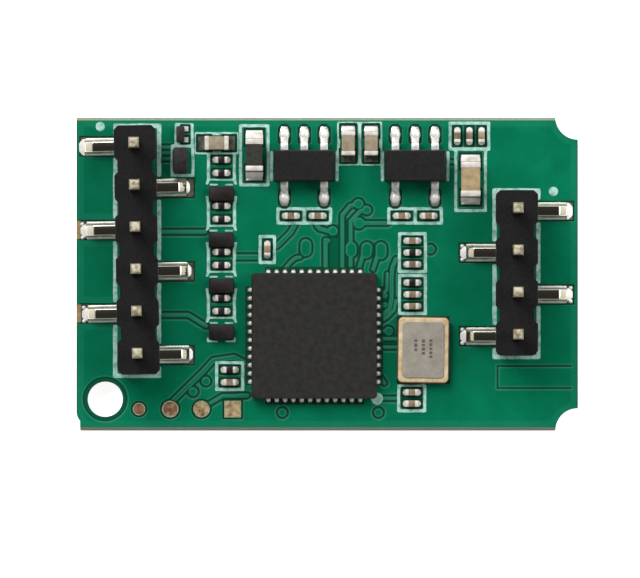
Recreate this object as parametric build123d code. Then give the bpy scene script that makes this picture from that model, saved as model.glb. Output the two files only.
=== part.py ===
"""Millimetre-wave radar module: a small circuit board with a radar chip, two regulators, a crystal,
chip components and two surface-mount pin headers on its front face, and patch antennas on its rear face.

Units are millimetres. The origin is the centre of the board's rear face. +X runs along the long side,
+Y along the short side, and +Z points out of the front face, where the components are.
"""

from build123d import *
import os

# Circuit board
board_length = 24.0
board_width = 15.0
board_thickness = 1.2
notch_radius = 1.07  # quarter-round notch at each right-hand corner
score_depth = 0.4  # break-off groove along both long edges, cut from both faces
score_inset = 0.15  # how far the groove draws each face in from the edge
relief_width = 0.17  # routed step at the lower left corner
relief_height = 0.9
relief_radius = 0.68
hole_radius = 0.85
hole_from_left = 1.37
hole_from_bottom = 1.5
hole_bare_ring = 0.18  # bare laminate left round the hole

# Front face coatings
mask_thickness = 0.04
mask_edge_gap = 0.04
mask_clearance = 0.06  # opening in the mask round each land
land_thickness = 0.06  # copper with its tinning, above the laminate
print_thickness = 0.02
print_clearance = 0.12  # the white print keeps this far from the lands
print_line = 0.14
round_window_sides = 20  # the screens for the coatings draw round shapes with straight sides
round_mark_sides = 16
print_past_small_end = 0.395  # outline past a part's ends and sides, for each size of part
print_past_small_side = 0.265
print_past_medium_end = 0.47
print_past_medium_side = 0.2
print_past_large_end = 0.72
print_past_large_side = 0.31
print_past_moulded = 0.15  # past the ends of the diode and the inductor
thin_print_line = 0.08
rail_flare = 0.07  # how far the rails beside the pull-up resistors spread next to a level shifter
rail_above_first = 0.476  # from the centre of a pair's first resistor up to the rails' ends
rail_knee_above_first = 0.08
rail_below_second = 0.555  # from the centre of its second resistor down to their lower ends
rail_knee_below_second = 0.32
last_mark_height = 0.2  # turned-up ends of the bars below the last level shifter
diode_mark_shift = 0.18
inductor_mark_shift = 0.1
shifter_mark_length = 0.42
shifter_mark_gap = 0.065  # between a level shifter and the bars printed beside it
regulator_mark_length = 1.45

# Test pads along the lower edge
test_pad_pitch = 1.495
test_pad_radius = 0.4
test_pad_small_radius = 0.3
test_pad_square = 0.8
test_pad_from_hole = 1.62
test_pad_from_bottom = 1.02
test_pad_count = 4

# Pin headers
header_pitch = 2.0
header_width = 2.0
header_height = 2.0
header_block = 1.5  # length of the eight-sided block round each pin
header_corner = 0.2  # chamfer of each block
header_neck_inset = 0.17
header_end = 0.94  # from the last pin to the end of the housing
pin_width = 0.5
pin_above_housing = 4.0
pin_end_chamfer = 0.08
pin_bend_radius = 0.05  # inside of the bend
foot_reach = 2.42  # from the pin's axis to the toe
foot_toe_slope = 0.36
foot_toe_drop = 0.3
foot_land_width = 0.85
foot_land_past_toe = 0.28
foot_land_from_axis = 0.95
header_6_count = 6
header_6_from_left = 2.9
header_6_from_top = 1.4  # first pin to the upper edge
header_6_turn = 1.0  # degrees, the left header sits slightly askew
header_4_count = 4
header_4_from_right = 2.94
header_print_length = 0.15  # gap between the housing and its printed outline
header_print_line = 0.2
pin_mark_radius = 0.23
pin_mark_from_axis = 1.77
pin_mark_past_pin = 0.95
edge_contact_length = 0.3
edge_contact_pin_numbers = (3, 5)

# Radar chip, a flat leadless package with twelve terminals a side
chip_size = 6.0
chip_height = 0.85
chip_standoff = 0.03
chip_corner = 0.1
chip_edge_chamfer = 0.06
chip_pitch = 0.4
chip_terminal_width = 0.2
chip_terminal_length = 0.4
chip_terminal_thickness = 0.2
chip_corner_gap = 0.2  # from a row's last terminal to the ends of the next row
chip_land_reach = 0.22  # how far its lands show past the body
chip_heat_pad_gap = 0.4  # between the terminals and the heat pad
chip_from_bottom = 1.52
chip_x = -0.62
chip_mark_radius = 0.3

# Regulators, small five-lead packages
regulator_length = 2.92
regulator_width = 1.56
regulator_height = 1.1
regulator_standoff = 0.08
regulator_draft = 7.0  # degrees
lead_width = 0.36
lead_thickness = 0.15
lead_bend_radius = 0.1
lead_pitch = 0.95
lead_span = 2.9  # toe to toe
lead_shoulder = 0.25  # flat stretch outside the body
lead_foot = 0.3
lead_anchor = 0.25  # stretch moulded into the body
lead_land_past_toe = 0.48
lead_land_heel = 0.1  # land behind the foot
lead_land_width = 0.45
lead_land_corner = 0.14
regulator_from_top = 2.35
regulator_spacing = 5.31
regulator_pair_x = 1.555
regulator_mark_gap = 0.04

# Crystal
crystal_width = 2.5
crystal_length = 3.2
crystal_base_height = 0.5
crystal_corner_notch = 0.2
crystal_ring_inset = 0.04
crystal_ring_width = 0.34
crystal_ring_height = 0.12
crystal_lid_inset = 0.22
crystal_lid_height = 0.08
crystal_rounding = 0.22
crystal_lid_corner = 0.12
crystal_from_chip = 0.97
crystal_below_chip = 0.68
crystal_turn = -0.8  # degrees
crystal_land_width = 1.0
crystal_land_length = 1.2
crystal_land_inset = 0.07

# Small chip components: length, width and height of each size, and its wrapped metal ends
end_plating = 0.02
small_length = 0.6
small_width = 0.3
small_height = 0.3
small_resistor_height = 0.23
small_wrap = 0.15
small_land_reach = 0.12
medium_length = 1.15
medium_width = 0.66
medium_height = 0.6
medium_wrap = 0.2
medium_land_reach = 0.3
large_length = 1.67
large_width = 0.94
large_height = 0.85
large_wrap = 0.28
large_land_reach = 0.38
bead_length = 1.54
bead_width = 0.84
bead_height = 0.8
bead_wrap = 0.25
bead_land_reach = 0.45
end_bevel_share = 1.5  # bevel of the metal ends, in thicknesses of their plating
land_under_end = 0.05  # how far a land runs further in than the metal end

# Moulded leadless parts: the inductor, the diode and the level shifters between the pull-up resistors
flat_terminal_thickness = 0.03
inductor_length = 1.25
inductor_width = 0.74
inductor_height = 0.65
inductor_corner = 0.12
inductor_terminal_length = 0.3
inductor_terminal_inset = 0.1
diode_length = 0.76
diode_width = 0.38
diode_height = 0.36
diode_corner = 0.04
diode_terminal_width = 0.24
diode_terminal_reach = 0.19  # how far both terminals show at the diode's right side
diode_terminal_under = 0.1
shifter_length = 1.15
shifter_width = 0.68
shifter_height = 0.4
shifter_corner = 0.04
shifter_terminal_length = 0.26
shifter_terminal_inset = 0.08
shifter_terminal_width = 0.22
shifter_count = 4
shifter_pitch = 2.205
column_from_top = 2.05
pair_count = 2
column_pair_step = 0.63  # between the two resistors of a pair
column_shifter_step = 1.0  # from the second resistor to the transistor
column_shift = 0.055  # right of the middle of its gap

# Chip components that stand beside the larger parts
input_capacitor_from_top = 1.25
input_capacitor_shift = -0.23
output_capacitor_spacing = 1.1
output_capacitor_from_top = 1.27
bead_from_top = 1.83
bulk_capacitor_from_top = 2.99
trio_spacing = 0.58
trio_from_top = 0.91
trio_shift = -0.055
below_regulator_step = 2.38
below_regulator_spacing = 1.28
diode_from_top = 0.82
inductor_from_top = 2.085
inductor_shift = 0.03
beside_chip_gap = 1.05
beside_chip_step = 0.6
beside_chip_rise = 0.78
above_chip_gap = 1.14
above_chip_inset = 0.75
stack_step = 0.565
stack_gap = 0.31  # extra space between its two outlined groups
stack_parts = "CCRCRC"  # from the bottom, C for a capacitor and R for a resistor
stack_above_crystal = 0.5
stack_from_chip = 1.7
under_crystal_gap = 0.42
under_crystal_step = 0.54
under_crystal_shift = -0.55

# Patch antennas on the rear face: a transmitting and a receiving pair
patch_thickness = 0.04
patch_width = 3.3
patch_length = 3.9
patch_gap = 2.3  # between the two patches of a pair
patch_pair_spacing = 11.5
feed_width = 0.5
feed_notch_depth = 0.9
feed_notch_gap = 0.2

# Heights of the layers
laminate_top = board_thickness
mask_top = laminate_top + mask_thickness
land_top = laminate_top + land_thickness

# Edges of the board
left_edge = -board_length / 2
right_edge = board_length / 2
top_edge = board_width / 2
bottom_edge = -board_width / 2

# Sizes worked out from others
end_bevel = end_bevel_share * end_plating
chip_row = chip_size - 2 * (chip_terminal_length + chip_corner_gap) - chip_terminal_width
chip_terminals_a_side = int(chip_row / chip_pitch) + 1
chip_heat_pad = chip_size - 2 * (chip_terminal_length + chip_heat_pad_gap)
housing_base = pin_width + pin_bend_radius
foot_land_end = foot_reach + foot_land_past_toe

# Places worked out from the edges and from one another
header_6_x = left_edge + header_6_from_left
header_6_y = top_edge - header_6_from_top - (header_6_count - 1) * header_pitch / 2
header_4_x = right_edge - header_4_from_right
header_4_y = 0.0
hole_x = left_edge + hole_from_left
hole_y = bottom_edge + hole_from_bottom
test_pad_y = bottom_edge + test_pad_from_bottom
chip_y = bottom_edge + chip_from_bottom + chip_size / 2
chip_left = chip_x - chip_size / 2
chip_right = chip_x + chip_size / 2
chip_top = chip_y + chip_size / 2
chip_bottom = chip_y - chip_size / 2
regulator_y = top_edge - regulator_from_top
regulator_1_x = regulator_pair_x - regulator_spacing / 2
regulator_2_x = regulator_pair_x + regulator_spacing / 2
regulator_1_left = regulator_1_x - regulator_length / 2
regulator_2_right = regulator_2_x + regulator_length / 2
crystal_x = chip_right + crystal_from_chip + crystal_width / 2
crystal_y = chip_y - crystal_below_chip
crystal_top = crystal_y + crystal_length / 2
crystal_bottom = crystal_y - crystal_length / 2
column_x = (header_6_x + foot_land_end + chip_left - chip_land_reach) / 2 + column_shift
input_capacitor_x = column_x + input_capacitor_shift
input_capacitor_left = input_capacitor_x - medium_length / 2 - medium_land_reach
input_capacitor_right = input_capacitor_x + medium_length / 2 + medium_land_reach
header_6_right = header_6_x + header_width / 2 + header_print_length
header_4_left = header_4_x - header_width / 2
inductor_x = (header_6_right + input_capacitor_left) / 2 + inductor_shift
bead_x = (input_capacitor_right + regulator_1_left) / 2
bulk_capacitor_x = (regulator_2_right + header_4_left) / 2
stack_x = chip_right + stack_from_chip
stack_group = len(stack_parts) // 2  # parts inside one outline
beside_chip_x = chip_left - beside_chip_gap
below_regulator_y = regulator_y - below_regulator_step

# Shapes gathered while the components are placed
nodes = {}
lands = []
openings = []
print_marks = []


def placed(shape, x, y, z=0.0, turn=0.0):
    """The shape moved to a place on the board and turned about the vertical."""
    return Location((x, y, z), (0, 0, turn)) * shape


def add(node, *solids):
    """Adds solids to a named piece."""
    nodes.setdefault(node, []).extend(solids)


def land(x, y, width, height, turn=0.0, corner=0.0):
    """A tinned land on the front face, square or with its corners cut."""
    outline = Rectangle(width, height)
    if corner:
        outline = chamfer(outline.vertices(), corner)
    lands.append(placed(outline, x, y, 0, turn))


def outline_mark(x, y, width, height, line=print_line):
    """A printed rectangular outline."""
    frame = Rectangle(width, height) - Rectangle(width - 2 * line, height - 2 * line)
    print_marks.append(placed(frame, x, y))


def line_mark(x, y, width, height):
    """A printed bar."""
    print_marks.append(placed(Rectangle(width, height), x, y))


def dot_mark(x, y, radius):
    """A printed dot beside a first pin."""
    print_marks.append(placed(RegularPolygon(radius, round_mark_sides), x, y))


def bent_strip(points, bend_radius, thickness, width):
    """A strip of even thickness bent along points of the XZ plane, with rounded bends."""
    path = FilletPolyline(*points, radius=bend_radius)
    return extrude(Plane.XZ * trace(path, thickness), amount=width / 2, both=True)


# Circuit board


def board_outline():
    """The board seen from the front, with its notches and the step at the lower left corner."""
    outline = Rectangle(board_length, board_width)
    for y in (bottom_edge, top_edge):
        outline -= placed(Circle(notch_radius), right_edge, y)
    step_x = left_edge + relief_width / 2
    step_y = bottom_edge + relief_height / 2
    step = placed(Rectangle(relief_width, relief_height), step_x, step_y)
    rounding = placed(Circle(relief_radius), left_edge + relief_radius, bottom_edge + relief_height)
    return outline - (step - rounding)


def score_section():
    """The board's section across its width, with the broken grooves along both edges."""
    face = top_edge - score_inset
    upper = board_thickness - score_depth
    half = [(face, 0), (top_edge, score_depth), (top_edge, upper), (face, board_thickness)]
    return Polygon(half + [(-y, z) for y, z in reversed(half)], align=None)


def circuit_board():
    """The laminate: scored long edges, routed outline, mounting hole, recesses for the antennas."""
    board = extrude(Plane.YZ * score_section(), amount=board_length / 2, both=True)
    outline = board_outline() - placed(Circle(hole_radius), hole_x, hole_y)
    board &= extrude(outline, board_thickness)
    return board - antenna_copper()


def antenna_outline():
    """Two patches in line, joined by a feed that enters each one between two notches."""
    step = (patch_length + patch_gap) / 2
    outline = Sketch() + [placed(Rectangle(patch_width, patch_length), 0, y) for y in (-step, step)]
    notch_y = patch_gap / 2 + feed_notch_depth / 2
    notch_x = (feed_width + feed_notch_gap) / 2
    for x in (-notch_x, notch_x):
        for y in (-notch_y, notch_y):
            outline -= placed(Rectangle(feed_notch_gap, feed_notch_depth), x, y)
    return outline + Rectangle(feed_width, patch_gap)


def antenna_copper():
    """The copper of both antenna pairs, flush with the rear face."""
    pair = extrude(antenna_outline(), patch_thickness)
    half = patch_pair_spacing / 2
    return Part() + [placed(pair, x, 0) for x in (-half, half)]


# Pin headers


def header_housing(count):
    """The moulded strip of a header: an eight-sided block round each pin, with necks between."""
    half = (count - 1) * header_pitch / 2
    outline = Rectangle(header_width - 2 * header_neck_inset, 2 * half)
    for number in range(count):
        y = number * header_pitch - half
        low = -header_end if number == 0 else -header_block / 2
        high = header_end if number == count - 1 else header_block / 2
        block = Rectangle(header_width, high - low)
        block = chamfer(block.vertices(), header_corner)
        outline += placed(block, 0, y + (low + high) / 2)
    for number in range(count):
        outline -= placed(Rectangle(pin_width, pin_width), 0, number * header_pitch - half)
    return extrude(outline, header_height)


def header_pin():
    """One square pin: straight through the housing, bent at its foot, with a sloped toe."""
    bend = pin_bend_radius + pin_width / 2
    foot = pin_width / 2
    top = housing_base + header_height + pin_above_housing
    pin = bent_strip([(0, top), (0, foot), (foot_reach, foot)], bend, pin_width, pin_width)
    toe = Polygon(
        (foot_reach, pin_width),
        (foot_reach - foot_toe_slope, pin_width),
        (foot_reach, pin_width - foot_toe_drop),
        align=None,
    )
    pin -= extrude(Plane.XZ * toe, amount=pin_width, both=True)
    tip = pin.faces().sort_by(Axis.Z)[-1]
    return chamfer(tip.edges(), pin_end_chamfer)


def header(name, count, x, y, turn, first_side):
    """A header at its place, with its pins bent to alternate sides from the first one on."""
    add(f"{name}_housing", placed(header_housing(count), x, y, land_top + housing_base, turn))
    pin = header_pin()
    axis = Location((x, y, land_top), (0, 0, turn))
    for number in range(count):
        side = first_side if number % 2 == 0 else -first_side
        along = ((count - 1) / 2 - number) * header_pitch
        facing = 0 if side > 0 else 180
        add(f"{name}_pin_{number + 1}", axis * placed(pin, 0, along, 0, facing))
        land_x = x + side * (foot_land_from_axis + foot_land_end) / 2
        land(land_x, y + along, foot_land_end - foot_land_from_axis, foot_land_width)
    length = (count - 1) * header_pitch + 2 * header_end
    around = 2 * header_print_length
    outline_mark(x, y, header_width + around, length + around, header_print_line)
    mark_y = y + (count - 1) * header_pitch / 2 + pin_mark_past_pin
    dot_mark(x + first_side * pin_mark_from_axis, mark_y, pin_mark_radius)


def edge_contacts():
    """Bare copper that runs from two lands of the left header to the board's edge."""
    for number in edge_contact_pin_numbers:
        y = header_6_y + ((header_6_count + 1) / 2 - number) * header_pitch
        outline = Rectangle(edge_contact_length, foot_land_width)
        contact = placed(outline, left_edge + edge_contact_length / 2, y)
        contact -= Sketch() + lands
        add("edge_contacts", extrude(placed(contact, 0, 0, laminate_top), land_thickness))
        openings.append(contact)


# Radar chip


def radar_chip():
    """The flat moulded body with its terminals let into the lower edge and the heat pad below."""
    half = (chip_terminals_a_side - 1) * chip_pitch / 2
    inner = (chip_size - chip_terminal_length) / 2
    terminal = Box(chip_terminal_length, chip_terminal_width, chip_terminal_thickness)
    terminals = []
    for side in range(4):
        row = Location((0, 0, chip_terminal_thickness / 2), (0, 0, 90 * side))
        for number in range(chip_terminals_a_side):
            terminals.append(row * placed(terminal, inner, number * chip_pitch - half))
    heat_pad = Box(chip_heat_pad, chip_heat_pad, chip_terminal_thickness)
    heat_pad = placed(heat_pad, 0, 0, chip_terminal_thickness / 2)
    outline = chamfer(Rectangle(chip_size, chip_size).vertices(), chip_corner)
    body = extrude(placed(outline, 0, 0, chip_standoff), chip_height - chip_standoff)
    body = chamfer(body.faces().sort_by(Axis.Z)[-1].edges(), chip_edge_chamfer)
    body -= [heat_pad] + terminals
    add("radar_chip_body", placed(body, chip_x, chip_y, land_top))
    add("radar_chip_terminals", *[placed(t, chip_x, chip_y, land_top) for t in terminals])
    add("radar_chip_heat_pad", placed(heat_pad, chip_x, chip_y, land_top))
    land_length = chip_terminal_length + chip_land_reach
    from_centre = (chip_size + 2 * chip_land_reach - land_length) / 2
    for number in range(chip_terminals_a_side):
        along = number * chip_pitch - half
        for side in (-1, 1):
            land(chip_x + side * from_centre, chip_y + along, land_length, chip_terminal_width)
            land(chip_x + along, chip_y + side * from_centre, chip_terminal_width, land_length)
    row_window = Rectangle(land_length + 2 * mask_clearance, 2 * half + chip_terminal_width)
    for side in range(4):
        openings.append(Location((chip_x, chip_y), 90 * side) * placed(row_window, from_centre, 0))
    land(chip_x, chip_y, chip_heat_pad, chip_heat_pad)
    dot_mark(chip_right, chip_bottom, chip_mark_radius)


# Regulators


def gull_wing_lead():
    """One lead along +X: out of the body, down, and flat on its land."""
    rise = regulator_standoff + regulator_height / 2
    foot = lead_thickness / 2
    body_side = regulator_width / 2
    toe = lead_span / 2
    path = [
        (body_side - lead_anchor, rise),
        (body_side + lead_shoulder, rise),
        (toe - lead_foot, foot),
        (toe, foot),
    ]
    return bent_strip(path, lead_bend_radius, lead_thickness, lead_width)


def regulator(name, x, y):
    """A moulded body with drafted sides, three leads above it and two below."""
    half_body = extrude(
        Rectangle(regulator_length, regulator_width), regulator_height / 2, taper=regulator_draft
    )
    body = placed(half_body + mirror(half_body, Plane.XY), 0, 0, regulator_standoff + regulator_height / 2)
    leads = []
    for side, columns in ((1, (-1, 0, 1)), (-1, (-1, 1))):
        for column in columns:
            along = column * lead_pitch
            leads.append(placed(gull_wing_lead(), along, 0, 0, 90 * side))
            toe = lead_span / 2 + lead_land_past_toe
            heel = lead_span / 2 - lead_foot - lead_land_heel
            middle = y + side * (toe + heel) / 2
            land(x + along, middle, lead_land_width, toe - heel, corner=lead_land_corner)
    add(f"{name}_body", placed(body - leads, x, y, land_top))
    add(f"{name}_leads", *[placed(lead, x, y, land_top) for lead in leads])


# Crystal


def crystal():
    """A ceramic base with notched corners, a metal seal ring on it and a flat metal lid."""
    notches = [
        placed(Circle(crystal_corner_notch), x, y)
        for x in (-crystal_width / 2, crystal_width / 2)
        for y in (-crystal_length / 2, crystal_length / 2)
    ]
    outline = Rectangle(crystal_width, crystal_length) - notches
    base = extrude(outline, crystal_base_height)
    ring_width = crystal_width - 2 * crystal_ring_inset
    ring_length = crystal_length - 2 * crystal_ring_inset
    ring = RectangleRounded(ring_width, ring_length, crystal_rounding)
    ring -= Rectangle(ring_width - 2 * crystal_ring_width, ring_length - 2 * crystal_ring_width)
    lid_width = crystal_width - 2 * (crystal_ring_inset + crystal_lid_inset)
    lid_length = crystal_length - 2 * (crystal_ring_inset + crystal_lid_inset)
    lid = chamfer(Rectangle(lid_width, lid_length).vertices(), crystal_lid_corner)
    lid_base = crystal_base_height + crystal_ring_height
    pieces = (
        ("crystal_base", base),
        ("crystal_seal_ring", extrude(placed(ring, 0, 0, crystal_base_height), crystal_ring_height)),
        ("crystal_lid", extrude(placed(lid, 0, 0, lid_base), crystal_lid_height)),
    )
    for node, piece in pieces:
        add(node, placed(piece, crystal_x, crystal_y, land_top, crystal_turn))
    for side in (-1, 1):
        for end in (-1, 1):
            land_x = (crystal_width - crystal_land_width) / 2 - crystal_land_inset
            land_y = (crystal_length - crystal_land_length) / 2 - crystal_land_inset
            land_size = (crystal_land_width, crystal_land_length)
            land(crystal_x + side * land_x, crystal_y + end * land_y, *land_size)


# Chip components


def chip_component(node, x, y, size, wrap, land_reach, turn=0):
    """A ceramic block with two metal ends wrapped round it, soldered on two lands."""
    length, width, height = size
    block = chamfer(Box(length, width, height).edges(), end_bevel)
    plating = 2 * end_plating
    ceramic = Box(length - plating, width - plating, height - plating)
    ends = []
    for side in (-1, 1):
        end = block & placed(Box(wrap, width, height), side * (length - wrap) / 2, 0)
        ends.append(placed(end - ceramic, x, y, land_top + height / 2, turn))
        land_under(x, y, side, length, width, wrap, land_reach, turn)
    add(node, placed(ceramic, x, y, land_top + height / 2, turn))
    add(f"{node}_ends", *ends)


def land_under(x, y, side, length, width, wrap, land_reach, turn):
    """The land under one end of a chip component."""
    land_length = wrap + land_reach + land_under_end
    from_centre = side * (length / 2 + land_reach - land_length / 2)
    centre = Location((x, y, 0), (0, 0, turn)) * Pos(from_centre, 0, 0)
    land(centre.position.X, centre.position.Y, land_length, width, turn)


def small_component(node, x, y, height, turn=0):
    """One of the smallest parts: a plain ceramic block between two plain metal ends."""
    ceramic = Box(small_length - 2 * small_wrap, small_width, height)
    add(node, placed(ceramic, x, y, land_top + height / 2, turn))
    for side in (-1, 1):
        end = placed(Box(small_wrap, small_width, height), side * (small_length - small_wrap) / 2, 0)
        add(f"{node}_ends", placed(end, x, y, land_top + height / 2, turn))
        land_under(x, y, side, small_length, small_width, small_wrap, small_land_reach, turn)


def small_capacitor(node, x, y, turn=0):
    """The smallest capacitor size on the board."""
    small_component(node, x, y, small_height, turn)


def small_resistor(node, x, y):
    """The smallest resistor size on the board, flatter than the capacitors."""
    small_component(node, x, y, small_resistor_height)


def moulded_part(node, terminal_node, x, y, size, corner, terminals):
    """A moulded block that stands on thin flat terminals, each at its place with its own size."""
    for terminal_x, terminal_y, length, width in terminals:
        plate = placed(Rectangle(length, width), x + terminal_x, y + terminal_y, land_top)
        add(terminal_node, extrude(plate, flat_terminal_thickness))
        land(x + terminal_x, y + terminal_y, length, width)
    length, width, height = size
    body = chamfer(Box(length, width, height).edges().filter_by(Axis.Z), corner)
    add(node, placed(body, x, y, land_top + flat_terminal_thickness + height / 2))


def level_shifter(number, x, y):
    """A leadless transistor with two terminals at its left end and one at its right end."""
    end_x = (shifter_length - shifter_terminal_length) / 2 - shifter_terminal_inset
    corner_y = (shifter_width - shifter_terminal_width) / 2 - shifter_terminal_inset
    terminals = (
        (-end_x, corner_y, shifter_terminal_length, shifter_terminal_width),
        (-end_x, -corner_y, shifter_terminal_length, shifter_terminal_width),
        (end_x, 0, shifter_terminal_length, shifter_width - 2 * shifter_terminal_inset),
    )
    size = (shifter_length, shifter_width, shifter_height)
    moulded_part(f"level_shifter_{number}", "level_shifter_terminals", x, y, size, shifter_corner, terminals)


def supply_inductor():
    """The moulded inductor at the upper left, with a terminal under each end."""
    y = top_edge - inductor_from_top
    end_y = (inductor_length - inductor_terminal_length) / 2 - inductor_terminal_inset
    terminal = (inductor_terminal_length, inductor_terminal_length)
    terminals = [(0, side * end_y, *terminal) for side in (-1, 1)]
    size = (inductor_width, inductor_length, inductor_height)
    moulded_part("supply_inductor", "supply_inductor_ends", inductor_x, y, size, inductor_corner, terminals)


def supply_diode():
    """The moulded diode above the inductor, with both terminals at its right side."""
    y = top_edge - diode_from_top
    side_x = (diode_width + diode_terminal_reach - diode_terminal_under) / 2
    corner_y = (diode_length - diode_terminal_width) / 2
    terminal = (diode_terminal_reach + diode_terminal_under, diode_terminal_width)
    terminals = [(side_x, side * corner_y, *terminal) for side in (-1, 1)]
    size = (diode_width, diode_length, diode_height)
    moulded_part("supply_diode", "supply_diode_ends", inductor_x, y, size, diode_corner, terminals)


def resistor_column():
    """Four level shifters, each below its pair of pull-up resistors."""
    for number in range(shifter_count):
        first_y = top_edge - column_from_top - number * shifter_pitch
        second_y = first_y - column_pair_step
        small_resistor("pull_up_resistors", column_x, first_y)
        small_resistor("pull_up_resistors", column_x, second_y)
        level_shifter(number + 1, column_x, second_y - column_shifter_step)


def supply_components():
    """The larger capacitors and the ferrite bead of the supply."""
    medium = (medium_length, medium_width, medium_height)
    y = top_edge - input_capacitor_from_top
    chip_component("input_capacitor", input_capacitor_x, y, medium, medium_wrap, medium_land_reach)
    y = top_edge - output_capacitor_from_top
    for number, side in enumerate((-1, 1), 1):
        x = regulator_pair_x + side * output_capacitor_spacing / 2
        chip_component(f"output_capacitor_{number}", x, y, medium, medium_wrap, medium_land_reach, 90)
    large = (large_length, large_width, large_height)
    y = top_edge - bulk_capacitor_from_top
    chip_component("bulk_capacitor", bulk_capacitor_x, y, large, large_wrap, large_land_reach, 90)
    bead = (bead_length, bead_width, bead_height)
    y = top_edge - bead_from_top
    chip_component("ferrite_bead", bead_x, y, bead, bead_wrap, bead_land_reach, 90)


def small_components():
    """The smallest capacitors and resistors, grouped by the part that they serve."""
    for column in (-1, 0, 1):
        x = bulk_capacitor_x + trio_shift + column * trio_spacing
        small_capacitor("regulator_capacitors", x, top_edge - trio_from_top, 90)
    for centre in (regulator_1_x, regulator_2_x):
        for side in (-1, 1):
            x = centre + side * below_regulator_spacing / 2
            small_capacitor("regulator_capacitors", x, below_regulator_y)
    y = chip_bottom + beside_chip_rise
    small_capacitor("radar_capacitors", beside_chip_x, y)
    small_resistor("radar_resistors", beside_chip_x, y + beside_chip_step)
    small_capacitor("radar_capacitors", chip_left + above_chip_inset, chip_top + above_chip_gap, 90)
    for number, kind in enumerate(stack_parts):
        gap = 0 if number < stack_group else stack_gap
        y = crystal_top + stack_above_crystal + number * stack_step + gap
        if kind == "R":
            small_resistor("radar_resistors", stack_x, y)
        else:
            small_capacitor("radar_capacitors", stack_x, y)
    for number in range(pair_count):
        y = crystal_bottom - under_crystal_gap - number * under_crystal_step
        small_capacitor("crystal_capacitors", crystal_x + under_crystal_shift, y)


# Test pads


def test_pads():
    """Three round pads, the first one smaller, and a square one."""
    for number in range(test_pad_count):
        x = hole_x + test_pad_from_hole + number * test_pad_pitch
        radius = test_pad_small_radius if number == 0 else test_pad_radius
        if number == test_pad_count - 1:
            pad = Rectangle(test_pad_square, test_pad_square)
            window = offset(pad, mask_clearance, kind=Kind.INTERSECTION)
        else:
            pad = Circle(radius)
            window = RegularPolygon(radius + mask_clearance, round_window_sides)
        add("test_pads", extrude(placed(pad, x, test_pad_y, laminate_top), land_thickness))
        openings.append(placed(window, x, test_pad_y))


# White print


def group_outline(x, y, span_x, span_y, count_y=1, pitch_y=0.0, count_x=1, pitch_x=0.0):
    """The outline round small parts in a row or a stack, centred on their middle."""
    width = span_x + (count_x - 1) * pitch_x
    height = span_y + (count_y - 1) * pitch_y
    outline_mark(x, y, width, height)


def column_marks(number):
    """The rails beside two pull-up resistors, which spread next to the level shifters, and their bar."""
    first_y = top_edge - column_from_top - number * shifter_pitch
    second_y = first_y - column_pair_step
    half = small_length / 2 + print_past_small_end
    if number:
        upper_end = (half + rail_flare, first_y + rail_above_first)
    else:
        upper_end = (half, first_y + small_width / 2 + print_past_small_side)
    outer = [
        upper_end,
        (half, first_y + rail_knee_above_first),
        (half, second_y - rail_knee_below_second),
        (half + rail_flare, second_y - rail_below_second),
    ]
    inner = [(x - print_line, y) for x, y in reversed(outer)]
    for side in (-1, 1):
        corners = [(side * x, y) for x, y in outer + inner]
        rail = Polygon(*corners[::-side], align=None)
        print_marks.append(placed(rail, column_x, 0))
    line_mark(column_x, second_y - rail_knee_below_second, 2 * half, thin_print_line)


def component_outlines():
    """The printed outlines round the chip components, with the bars that divide them."""
    lying = (small_length + 2 * print_past_small_end, small_width + 2 * print_past_small_side)
    upright = (lying[1], lying[0])
    for number in range(shifter_count):
        column_marks(number)
    outline_mark(
        input_capacitor_x,
        top_edge - input_capacitor_from_top,
        medium_length + 2 * print_past_medium_end,
        medium_width + 2 * print_past_medium_side,
    )
    pair_height = medium_length + 2 * print_past_medium_end
    pair_width = medium_width + 2 * print_past_medium_side + output_capacitor_spacing
    outline_mark(regulator_pair_x, top_edge - output_capacitor_from_top, pair_width, pair_height)
    line_mark(regulator_pair_x, top_edge - output_capacitor_from_top, print_line, pair_height)
    for x, from_top, length, width in (
        (bead_x, bead_from_top, bead_length, bead_width),
        (bulk_capacitor_x, bulk_capacitor_from_top, large_length, large_width),
    ):
        outline_mark(
            x, top_edge - from_top, width + 2 * print_past_large_side, length + 2 * print_past_large_end
        )
    trio_x = bulk_capacitor_x + trio_shift
    group_outline(trio_x, top_edge - trio_from_top, *upright, count_x=3, pitch_x=trio_spacing)
    for x in (regulator_1_x, regulator_2_x):
        group_outline(x, below_regulator_y, *lying, count_x=2, pitch_x=below_regulator_spacing)
        line_mark(x, below_regulator_y, print_line, lying[1])
    middle = chip_bottom + beside_chip_rise + beside_chip_step / 2
    group_outline(beside_chip_x, middle, *lying, pair_count, beside_chip_step)
    group_outline(chip_left + above_chip_inset, chip_top + above_chip_gap, *upright)
    for start in (0, stack_group):
        gap = stack_gap if start else 0
        middle = crystal_top + stack_above_crystal + (start + (stack_group - 1) / 2) * stack_step + gap
        group_outline(stack_x, middle, *lying, stack_group, stack_step)
    middle = crystal_bottom - under_crystal_gap - under_crystal_step / 2
    group_outline(crystal_x + under_crystal_shift, middle, *lying, pair_count, under_crystal_step)


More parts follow.
